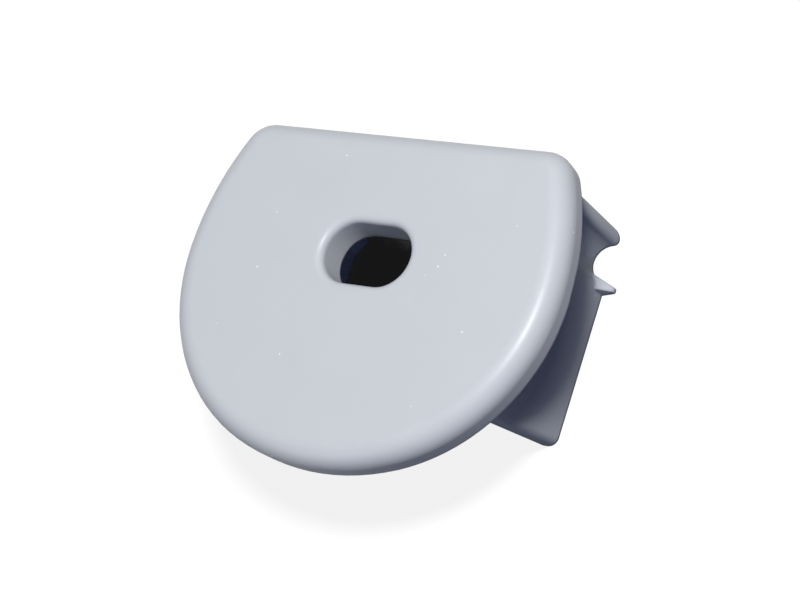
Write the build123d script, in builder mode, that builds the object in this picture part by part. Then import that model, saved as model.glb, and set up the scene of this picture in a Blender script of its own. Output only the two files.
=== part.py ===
"""Profile end cap: a D-shaped cover plate with a cable slot, and two snap wings behind it.

Millimetres. The cap stands on the far ends of its wings at Z = 0, with its front face
looking up along +Z. X runs across the face, +Y points to the flat edge, and the origin
is under the middle of the face.
"""

import os
from math import asin, cos, degrees, radians, sin, tan

from build123d import *

os.makedirs("parts", exist_ok=True)

# Cover plate
plate_thickness = 1.85
face_height = 16.0
base_radius = 11.34
base_half_angle = 21.0
shoulder_radius = 9.25
shoulder_end_angle = 0.0
flank_radius = 13.6
corner_radius = 1.5
front_round = 0.95
rim_band = 0.05
rim_draft = 5.0
back_round = 0.15

# Cable slot
slot_under_flat = 6.0
slot_length = 4.6
slot_width = 2.96
slot_front_round = 0.35

# Wings
plug_length = 6.55
plug_width = 15.0
wing_thickness = 1.1
wing_top_under_flat = 0.54
wing_root_height = 11.6
wing_taper_angle = 8.2
wing_far_radius = 0.85
wing_far_overrun = 0.02
wing_edge_round = 0.45

# Round groove near the top of each wing, and the nose above it
groove_radius = 0.93
groove_wrap = 0.65
groove_lip_round = 0.65
nose_height = 0.7
nose_reach = 0.1
nose_round = 0.34

# Retaining barb under the groove: a tooth at the far end, with a ramp towards the plate
barb_reach = 0.64
barb_root_height = 0.64
barb_top_slope = 17.0
barb_tip_height = 0.22
barb_tip_round = 0.08
barb_land = 0.25
barb_length = 1.5

# Places that follow from the sizes above
face_z = plug_length + plate_thickness
rim_height = front_round + rim_band
flat_y = face_height / 2
slot_y = flat_y - slot_under_flat
wing_face_x = plug_width / 2
wing_top_y = flat_y - wing_top_under_flat
wing_bottom_y = wing_top_y - wing_root_height
wing_far_bottom_y = wing_bottom_y + plug_length * tan(radians(wing_taper_angle))
groove_y = wing_top_y - nose_height - groove_radius
groove_bottom_y = groove_y - groove_radius
nose_x = wing_face_x + nose_reach
lip_x = wing_face_x - groove_lip_round

# The barb's upper edge leaves the groove on a tangent and falls to the tip.
barb_start_x = wing_face_x - groove_radius * sin(radians(barb_top_slope))
barb_start_y = groove_y - groove_radius * cos(radians(barb_top_slope))
barb_tip_x = wing_face_x + barb_reach
barb_tip_y = barb_start_y - (barb_tip_x - barb_start_x) * tan(radians(barb_top_slope))
barb_root_y = groove_bottom_y - barb_root_height

# The outline is a chain of tangent arcs: base, shoulder and flank, up to the flat edge.
base_y = base_radius - face_height / 2
base_end_angle = base_half_angle - 90
shoulder_turn = shoulder_end_angle - base_end_angle
shoulder_y = base_y + (base_radius - shoulder_radius) * sin(radians(base_end_angle))
flank_y = shoulder_y + (shoulder_radius - flank_radius) * sin(radians(shoulder_end_angle))
flank_turn = degrees(asin((flat_y - flank_y) / flank_radius)) - shoulder_end_angle

with BuildPart() as barb:
    # Section across the barb, open to the groove above it
    with BuildSketch(Plane.XY) as barb_section:
        with BuildLine():
            Polyline(
                (lip_x, groove_y),
                (barb_start_x, barb_start_y),
                (barb_tip_x, barb_tip_y),
                (barb_tip_x, barb_tip_y - barb_tip_height),
                (wing_face_x, barb_root_y),
                (lip_x, barb_root_y),
                close=True,
            )
        make_face()
        fillet(barb_section.vertices().group_by(Axis.X)[-1], barb_tip_round)
        with Locations((wing_face_x, groove_y)):
            Circle(groove_radius, mode=Mode.SUBTRACT)
    extrude(amount=barb_length)

    # Plan view: full reach at the far end, then a ramp that runs out in the wing
    with BuildSketch(Plane.XZ.offset(-flat_y)) as barb_plan:
        with BuildLine():
            Polyline(
                (lip_x, 0),
                (barb_tip_x, 0),
                (barb_tip_x, barb_land),
                (lip_x, barb_length),
                close=True,
            )
        make_face()
    extrude(amount=face_height, mode=Mode.INTERSECT)

with BuildPart() as wing:
    # Section across the wing: a wall, the wrap round the groove, and the nose on top
    with BuildSketch(Plane.XY) as wing_section:
        with Locations((wing_face_x, groove_y)):
            Circle(groove_radius + groove_wrap)
            Rectangle(plug_width, face_height, align=(Align.MIN, Align.CENTER), mode=Mode.SUBTRACT)
        with Locations((wing_face_x, wing_top_y)):
            Rectangle(wing_thickness, wing_root_height, align=(Align.MAX, Align.MAX))
        with Locations((nose_x, wing_top_y)):
            Rectangle(wing_thickness, wing_top_y - groove_y, align=(Align.MAX, Align.MAX))
        with Locations((wing_face_x, groove_y)):
            Circle(groove_radius, mode=Mode.SUBTRACT)
        fillet(wing_section.vertices().group_by(Axis.X)[-1], nose_round)
        lip = wing_section.vertices().sort_by_distance((wing_face_x, groove_bottom_y))[0]
        fillet(lip, groove_lip_round)
    extrude(amount=plug_length)

    # Side view: the lower edge tapers to a round far corner
    with BuildSketch(Plane.YZ) as wing_side:
        with BuildLine():
            Polyline(
                (wing_bottom_y, plug_length),
                (wing_far_bottom_y, -wing_far_overrun),
                (wing_top_y, -wing_far_overrun),
                (wing_top_y, plug_length),
                close=True,
            )
        make_face()
        far_corner = wing_side.vertices().sort_by(Axis.Z)[:2].sort_by(Axis.Y)[0]
        fillet(far_corner, wing_far_radius)
    extrude(amount=nose_x, mode=Mode.INTERSECT)

    # The lower edge and the far corner are rounded on both sides of the wall
    lower_edges = edges().filter_by_position(Axis.Y, wing_bottom_y, wing_far_bottom_y + wing_far_radius)
    outer_edges = lower_edges.filter_by_position(Axis.X, wing_face_x - 0.01, wing_face_x + 0.01)
    inner_x = wing_face_x - wing_thickness
    inner_edges = lower_edges.filter_by_position(Axis.X, inner_x - 0.01, inner_x + 0.01)
    fillet(outer_edges + inner_edges, min(wing_edge_round, 0.45 * wing_thickness))

    add(barb.part)

with BuildPart() as profile_end_cap:
    # Cover plate: a large round all along the front, and a rim that leans in towards the back
    with BuildSketch(Plane.XY.offset(face_z - rim_height)) as face_outline:
        with BuildLine():
            base = CenterArc((0, base_y), base_radius, -90 - base_half_angle, 2 * base_half_angle)
            shoulder = JernArc(base @ 1, base % 1, shoulder_radius, shoulder_turn)
            flank = JernArc(shoulder @ 1, shoulder % 1, flank_radius, flank_turn)
            mirror(shoulder, about=Plane.YZ)
            mirror(flank, about=Plane.YZ)
            Line(flank @ 1, (-(flank @ 1).X, flat_y))
        make_face()
        fillet(face_outline.vertices().group_by(Axis.Y)[-1], corner_radius)
    extrude(amount=rim_height)
    fillet(edges().group_by(Axis.Z)[-1], front_round)
    extrude(face_outline.sketch, amount=rim_height - plate_thickness, taper=rim_draft)
    fillet(edges().group_by(Axis.Z)[0], back_round)

    # Cable slot through the plate
    with BuildSketch(Plane.XY.offset(plug_length)):
        with Locations((0, slot_y)):
            SlotOverall(slot_length, slot_width)
    extrude(amount=plate_thickness, mode=Mode.SUBTRACT)
    fillet(edges(Select.LAST).group_by(Axis.Z)[-1], slot_front_round)

    # Wings on both sides
    add(wing.part)
    mirror(wing.part, about=Plane.YZ)

profile_end_cap.part.label = "profile_end_cap"
export_step(profile_end_cap.part, "parts/profile_end_cap.step")
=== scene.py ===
"""Profile end cap in moulded grey plastic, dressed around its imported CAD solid.

Metres, in the CAD frame: +Z looks out of the front face, +Y points to the flat edge and
the cap stands on the far ends of its wings at Z = 0.
"""

from __future__ import annotations

import logging
import math
from dataclasses import dataclass
from enum import Enum

import bmesh
import bpy
from mathutils import Matrix, Vector


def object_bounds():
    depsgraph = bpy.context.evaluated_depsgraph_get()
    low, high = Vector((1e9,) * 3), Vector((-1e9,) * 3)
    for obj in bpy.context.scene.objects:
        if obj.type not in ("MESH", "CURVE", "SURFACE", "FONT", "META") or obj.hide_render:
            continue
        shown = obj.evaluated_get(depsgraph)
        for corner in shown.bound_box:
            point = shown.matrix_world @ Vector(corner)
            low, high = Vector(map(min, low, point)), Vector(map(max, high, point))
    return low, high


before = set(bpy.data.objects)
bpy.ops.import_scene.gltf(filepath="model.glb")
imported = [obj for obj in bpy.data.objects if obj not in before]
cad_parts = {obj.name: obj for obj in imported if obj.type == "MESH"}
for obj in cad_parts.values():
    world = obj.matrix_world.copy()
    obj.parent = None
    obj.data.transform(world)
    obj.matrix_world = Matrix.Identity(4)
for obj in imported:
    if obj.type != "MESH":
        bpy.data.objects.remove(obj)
CAD_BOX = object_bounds()

logging.basicConfig(level=logging.INFO, format="%(name)s: %(message)s")
log = logging.getLogger("end_cap")

NODE = "profile_end_cap"
MM = 0.001

Colour = tuple[float, float, float]


class SeenRay(Enum):
    """Kind of ray that sees the surround and the floor as white."""

    CAMERA = "Is Camera Ray"
    GLOSSY = "Is Glossy Ray"
    TRANSMISSION = "Is Transmission Ray"


def rgba(colour: Colour) -> tuple[float, float, float, float]:
    """Return the colour with full opacity."""
    return (*colour, 1.0)


def direction(azimuth: float, elevation: float) -> Vector:
    """Turn two angles into a unit vector away from the part.

    Args:
        azimuth: Degrees round Z from +X towards +Y.
        elevation: Degrees above the floor.

    Returns:
        The unit vector.
    """
    a, e = math.radians(azimuth), math.radians(elevation)
    return Vector((math.cos(a) * math.cos(e), math.sin(a) * math.cos(e), math.sin(e)))


def new_tree(material: bpy.types.Material) -> bpy.types.ShaderNodeTree:
    """Empty a material's node tree and return it.

    Args:
        material: The material to clear.

    Returns:
        Its node tree with no nodes.
    """
    material.use_nodes = True
    material.node_tree.nodes.clear()
    return material.node_tree


def ramp(
    tree: bpy.types.ShaderNodeTree, value: bpy.types.NodeSocket, start: float, end: float
) -> bpy.types.NodeSocket:
    """Add a node that goes from 0 to 1 as a value goes from start to end.

    Args:
        tree: The node tree to add it to.
        value: The value's socket.
        start: The value that gives 0.
        end: The value that gives 1. It may be the smaller of the two.

    Returns:
        The node's output.
    """
    node = tree.nodes.new("ShaderNodeMapRange")
    node.inputs["From Min"].default_value = start
    node.inputs["From Max"].default_value = end
    tree.links.new(value, node.inputs["Value"])
    return node.outputs["Result"]


def combine(
    tree: bpy.types.ShaderNodeTree,
    operation: str,
    first: bpy.types.NodeSocket,
    second: bpy.types.NodeSocket,
) -> bpy.types.NodeSocket:
    """Add a node that works out one value from two.

    Args:
        tree: The node tree to add it to.
        operation: Blender's name of the operation.
        first: The first value's socket.
        second: The second value's socket.

    Returns:
        The node's output.
    """
    node = tree.nodes.new("ShaderNodeMath")
    node.operation = operation
    tree.links.new(first, node.inputs[0])
    tree.links.new(second, node.inputs[1])
    return node.outputs["Value"]


@dataclass(frozen=True)
class PhotoCamera:
    """Camera at the photograph's viewing angle.

    Its position is in millimetres. The clip range is in metres.
    """

    position: Vector = Vector((69.988, -32.090, 106.897))
    right: Vector = Vector((0.83054, 0.29681, -0.47129))
    up: Vector = Vector((-0.11418, 0.91893, 0.37752))
    forward: Vector = Vector((-0.54514, 0.25973, -0.79710))
    focal_pixels: float = 2806.19
    image_width: float = 800.0
    sensor_width: float = 36.0
    clip_range: tuple[float, float] = (0.01, 10.0)

    def build(self) -> bpy.types.Object:
        """Make the camera and set it as the scene's.

        Returns:
            The camera object.
        """
        data = bpy.data.cameras.new("photo_camera")
        data.sensor_width = self.sensor_width
        data.lens = self.focal_pixels / self.image_width * self.sensor_width
        data.clip_start, data.clip_end = self.clip_range
        camera = bpy.data.objects.new("photo_camera", data)
        turn = Matrix((self.right, self.up, -self.forward)).transposed().to_4x4()
        camera.matrix_world = Matrix.Translation(self.position * MM) @ turn
        bpy.context.scene.collection.objects.link(camera)
        bpy.context.scene.camera = camera
        return camera


@dataclass(frozen=True)
class Lamp:
    """Round area lamp aimed at the part, in degrees and metres, given by the level it lights."""

    name: str
    azimuth: float
    elevation: float
    distance: float
    size: float
    level: float
    colour: Colour

    def build(self, target: Vector) -> bpy.types.Object:
        """Make the lamp.

        Args:
            target: The point it is aimed at.

        Returns:
            The lamp object. A white card at the target that faces it renders at its level.
        """
        data = bpy.data.lights.new(self.name, "AREA")
        data.shape = "DISK"
        data.size = self.size
        data.energy = self.level * math.pi**2 * self.distance**2
        data.color = self.colour
        lamp = bpy.data.objects.new(self.name, data)
        away = direction(self.azimuth, self.elevation)
        lamp.location = target + away * self.distance
        lamp.rotation_mode = "QUATERNION"
        lamp.rotation_quaternion = (-away).to_track_quat("-Z", "Y")
        bpy.context.scene.collection.objects.link(lamp)
        return lamp


@dataclass(frozen=True)
class MouldedPlastic:
    """Satin grey plastic with a very fine grain, faint flow marks and a few specks of dust.

    Lengths are in millimetres. Its edges are softened a little, in shading only.
    """

    colour: Colour = (0.56, 0.584, 0.618)
    mark_size: float = 1 / 0.42
    mark_detail: float = 3.0
    mark_range: tuple[float, float] = (0.975, 1.02)
    dust_colour: Colour = (0.86, 0.87, 0.90)
    dust_spacing: float = 1.2
    dust_radius: float = 0.055
    dust_core: float = 0.6
    roughness: float = 0.35
    roughness_spread: float = 0.05
    specular: float = 0.30
    edge_softness: float = 0.25
    edge_samples: int = 8
    grain_size: float = 0.09
    grain_detail: float = 2.0
    grain_height: float = 0.02
    grain_strength: float = 0.10

    def noise(
        self,
        tree: bpy.types.ShaderNodeTree,
        place: bpy.types.NodeSocket,
        size: float,
        detail: float,
    ) -> bpy.types.NodeSocket:
        """Add a cloud pattern.

        Args:
            tree: The node tree to add it to.
            place: The coordinates it is laid out in.
            size: The size of a cloud.
            detail: How many finer layers it has.

        Returns:
            The pattern's output, from 0 to 1.
        """
        node = tree.nodes.new("ShaderNodeTexNoise")
        node.inputs["Scale"].default_value = 1.0 / (size * MM)
        node.inputs["Detail"].default_value = detail
        tree.links.new(place, node.inputs["Vector"])
        return node.outputs["Fac"]

    def build(self) -> bpy.types.Material:
        """Make the material.

        Returns:
            The finished material.
        """
        material = bpy.data.materials.new("grey_moulded_plastic")
        tree = new_tree(material)
        nodes, links = tree.nodes, tree.links
        out = nodes.new("ShaderNodeOutputMaterial")
        shader = nodes.new("ShaderNodeBsdfPrincipled")
        shader.inputs["Specular IOR Level"].default_value = self.specular
        links.new(shader.outputs["BSDF"], out.inputs["Surface"])
        place = nodes.new("ShaderNodeTexCoord").outputs["Object"]

        marks = self.noise(tree, place, self.mark_size, self.mark_detail)
        tint = nodes.new("ShaderNodeMix")
        tint.data_type = "RGBA"
        for name, factor in zip("AB", self.mark_range):
            tint.inputs[name].default_value = rgba(tuple(c * factor for c in self.colour))
        links.new(marks, tint.inputs["Factor"])

        dust = nodes.new("ShaderNodeTexVoronoi")
        dust.inputs["Scale"].default_value = 1.0 / (self.dust_spacing * MM)
        links.new(place, dust.inputs["Vector"])
        edge = self.dust_radius / self.dust_spacing
        fleck = ramp(tree, dust.outputs["Distance"], edge, self.dust_core * edge)
        dusty = nodes.new("ShaderNodeMix")
        dusty.data_type = "RGBA"
        dusty.inputs["B"].default_value = rgba(self.dust_colour)
        links.new(fleck, dusty.inputs["Factor"])
        links.new(tint.outputs["Result"], dusty.inputs["A"])
        links.new(dusty.outputs["Result"], shader.inputs["Base Color"])

        spread = nodes.new("ShaderNodeMapRange")
        spread.inputs["To Min"].default_value = self.roughness - self.roughness_spread
        spread.inputs["To Max"].default_value = self.roughness + self.roughness_spread
        links.new(marks, spread.inputs["Value"])
        links.new(spread.outputs["Result"], shader.inputs["Roughness"])

        bump = nodes.new("ShaderNodeBump")
        bump.inputs["Strength"].default_value = self.grain_strength
        bump.inputs["Distance"].default_value = self.grain_height * MM
        grain = self.noise(tree, place, self.grain_size, self.grain_detail)
        links.new(grain, bump.inputs["Height"])
        softened = nodes.new("ShaderNodeBevel")
        softened.samples = self.edge_samples
        softened.inputs["Radius"].default_value = self.edge_softness * MM
        links.new(softened.outputs["Normal"], bump.inputs["Normal"])
        links.new(bump.outputs["Normal"], shader.inputs["Normal"])
        return material


@dataclass
class EndCap:
    """The one-piece cap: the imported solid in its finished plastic."""

    plastic: MouldedPlastic = MouldedPlastic()

    def dress(self) -> bpy.types.Object:
        """Give the CAD node its finish.

        Returns:
            The CAD node's object.
        """
        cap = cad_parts[NODE]
        cap.data.materials.clear()
        cap.data.materials.append(self.plastic.build())
        return cap


@dataclass
class Studio:
    """Plain pale floor, white surround and soft lamps.

    The floor is in metres. Its painted shade, a dark oval painted on it between the wings that
    only stays where the part covers the floor, is in millimetres.
    """

    floor_size: float = 0.30
    floor_glow: float = 0.86
    floor_white: float = 0.18
    bounce_colour: Colour = (0.02, 0.024, 0.04)
    # Painted shade on the floor: a dark oval painted between the wings, given by its place,
    # radii, fade, darkness and colour.
    shade_centre: Vector = Vector((-2.0, 3.0, 0.0))
    shade_radii: Vector = Vector((5.6, 3.5, 1.0))
    shade_fade: float = 1.75
    shade_depth: float = 0.009
    shade_colour: Colour = (0.02, 0.02, 0.025)
    # Occlusion keeps the painted shade only under the part, and paints the floor darker in gloss
    # close to it.
    cover_reach: float = 20.0
    cover_range: tuple[float, float] = (0.46, 0.76)
    contact_range: tuple[float, float] = (0.65, 1.0)
    ambient_colour: Colour = (0.50, 0.60, 1.40)
    ambient_level: float = 0.018
    lamps: tuple[Lamp, ...] = (
        Lamp("key_lamp", 10.5, 68.4, 0.24, 0.036, 0.83, (1.01, 1.0, 0.98)),
        Lamp("right_panel", 22.0, 62.0, 0.24, 0.06, 0.22, (0.96, 0.98, 1.06)),
        Lamp("left_panel", 240.0, 32.0, 0.60, 0.30, 0.11, (0.92, 0.95, 1.10)),
        Lamp("low_panel", -40.0, 14.0, 0.60, 0.30, 0.035, (0.55, 0.75, 1.80)),
    )

    def seen_rays(self, tree: bpy.types.ShaderNodeTree) -> bpy.types.NodeSocket:
        """Add nodes that tell the rays that see the white surround.

        Args:
            tree: The node tree to add them to.

        Returns:
            A socket that is 1 for camera, glossy and transmission rays.
        """
        path = tree.nodes.new("ShaderNodeLightPath")
        camera, glossy, transmission = (path.outputs[ray.value] for ray in SeenRay)
        return combine(tree, "MAXIMUM", combine(tree, "MAXIMUM", camera, glossy), transmission)

    def build_world(self) -> bpy.types.World:
        """Make the surround: white to the camera, dim and cool as light.

        Returns:
            The world.
        """
        world = bpy.data.worlds.new("surround")
        world.use_nodes = True
        tree = world.node_tree
        tree.nodes.clear()
        out = tree.nodes.new("ShaderNodeOutputWorld")
        mix = tree.nodes.new("ShaderNodeMixShader")
        ambient = tree.nodes.new("ShaderNodeBackground")
        ambient.inputs["Color"].default_value = rgba(self.ambient_colour)
        ambient.inputs["Strength"].default_value = self.ambient_level
        white = tree.nodes.new("ShaderNodeBackground")
        white.inputs["Color"].default_value = rgba((1.0, 1.0, 1.0))
        white.inputs["Strength"].default_value = 1.0
        tree.links.new(self.seen_rays(tree), mix.inputs["Fac"])
        tree.links.new(ambient.outputs["Background"], mix.inputs[1])
        tree.links.new(white.outputs["Background"], mix.inputs[2])
        tree.links.new(mix.outputs["Shader"], out.inputs["Surface"])
        bpy.context.scene.world = world
        return world

    def painted_shade_masks(
        self, tree: bpy.types.ShaderNodeTree
    ) -> tuple[bpy.types.NodeSocket, bpy.types.NodeSocket]:
        """Add the masks of the shade painted on the floor under and close to the part.

        Args:
            tree: The node tree to add them to.

        Returns:
            A socket that is 1 on the open floor and near 0 in the painted deep shade under the
            part, and one that falls from 1 to 0 close to the part, for shade painted on the
            floor in gloss.
        """
        nodes, links = tree.nodes, tree.links
        coordinates = nodes.new("ShaderNodeTexCoord")
        oval = nodes.new("ShaderNodeMapping")
        oval.vector_type = "TEXTURE"
        oval.inputs["Location"].default_value = self.shade_centre * MM
        oval.inputs["Scale"].default_value = self.shade_radii * MM
        reach = nodes.new("ShaderNodeVectorMath")
        reach.operation = "LENGTH"
        away = nodes.new("ShaderNodeMapRange")
        away.interpolation_type = "SMOOTHSTEP"
        away.inputs["From Min"].default_value = 1.0
        away.inputs["From Max"].default_value = self.shade_fade
        away.inputs["To Min"].default_value = self.shade_depth
        links.new(coordinates.outputs["Object"], oval.inputs["Vector"])
        links.new(oval.outputs["Vector"], reach.inputs[0])
        links.new(reach.outputs["Value"], away.inputs["Value"])

        # Painted shade: dark only inside the oval and where occlusion shows that the part covers
        # the floor.
        occlusion = nodes.new("ShaderNodeAmbientOcclusion")
        occlusion.inputs["Distance"].default_value = self.cover_reach * MM
        uncovered = ramp(tree, occlusion.outputs["AO"], *self.cover_range)
        contact = ramp(tree, occlusion.outputs["AO"], *self.contact_range)
        return combine(tree, "MAXIMUM", away.outputs["Result"], uncovered), contact

    def floor_material(self) -> bpy.types.Material:
        """Make the floor's finish.

        It is white where it is seen in the open, with shade painted on it: darker in gloss close
        to the part, and nearly black in the painted deep shade. As light it gives back only a
        faint, cool bounce.

        Returns:
            The material.
        """
        material = bpy.data.materials.new("pale_floor")
        tree = new_tree(material)
        nodes, links = tree.nodes, tree.links
        out = nodes.new("ShaderNodeOutputMaterial")
        open_floor, contact = self.painted_shade_masks(tree)

        bounce = nodes.new("ShaderNodeBsdfDiffuse")
        lit = nodes.new("ShaderNodeBsdfDiffuse")
        # Both floor colours are painted near black in the painted shade under the part.
        for shader, colour in ((bounce, self.bounce_colour), (lit, (self.floor_white,) * 3)):
            shade = nodes.new("ShaderNodeMix")
            shade.data_type = "RGBA"
            shade.inputs["A"].default_value = rgba(self.shade_colour)
            shade.inputs["B"].default_value = rgba(colour)
            links.new(open_floor, shade.inputs["Factor"])
            links.new(shade.outputs["Result"], shader.inputs["Color"])

        # The glow carries painted shade: near black under the part, and darker close to it for
        # gloss rays.
        camera = nodes.new("ShaderNodeLightPath").outputs[SeenRay.CAMERA.value]
        unmirrored = combine(tree, "MAXIMUM", camera, contact)
        brightness = combine(tree, "MULTIPLY", open_floor, unmirrored)
        glow = nodes.new("ShaderNodeEmission")
        glow.inputs["Strength"].default_value = self.floor_glow
        links.new(brightness, glow.inputs["Color"])
        seen = nodes.new("ShaderNodeAddShader")
        links.new(lit.outputs["BSDF"], seen.inputs[0])
        links.new(glow.outputs["Emission"], seen.inputs[1])
        mix = nodes.new("ShaderNodeMixShader")
        links.new(self.seen_rays(tree), mix.inputs["Fac"])
        links.new(bounce.outputs["BSDF"], mix.inputs[1])
        links.new(seen.outputs["Shader"], mix.inputs[2])
        links.new(mix.outputs["Shader"], out.inputs["Surface"])
        return material

    def build_floor(self) -> bpy.types.Object:
        """Make the floor just under the part.

        Returns:
            The floor object.
        """
        mesh = bpy.data.meshes.new("floor")
        shape = bmesh.new()
        bmesh.ops.create_grid(shape, x_segments=1, y_segments=1, size=self.floor_size / 2)
        shape.to_mesh(mesh)
        shape.free()
        floor = bpy.data.objects.new("floor", mesh)
        floor.data.materials.append(self.floor_material())
        bpy.context.scene.collection.objects.link(floor)
        return floor

    def build(self) -> None:
        """Make the floor, the surround and the lamps."""
        self.build_world()
        self.build_floor()
        low, high = CAD_BOX
        for lamp in self.lamps:
            lamp.build((low + high) / 2)


def main() -> None:
    """Build the studio, the camera and the cap in order."""
    bpy.context.scene.view_settings.view_transform = "Standard"
    PhotoCamera().build()
    log.info("camera in place")
    Studio().build()
    log.info("floor, surround and lamps in place")
    cap = EndCap().dress()
    log.info("%s dressed, %d triangles", cap.name, len(cap.data.polygons))


if __name__ == "__main__":
    main()
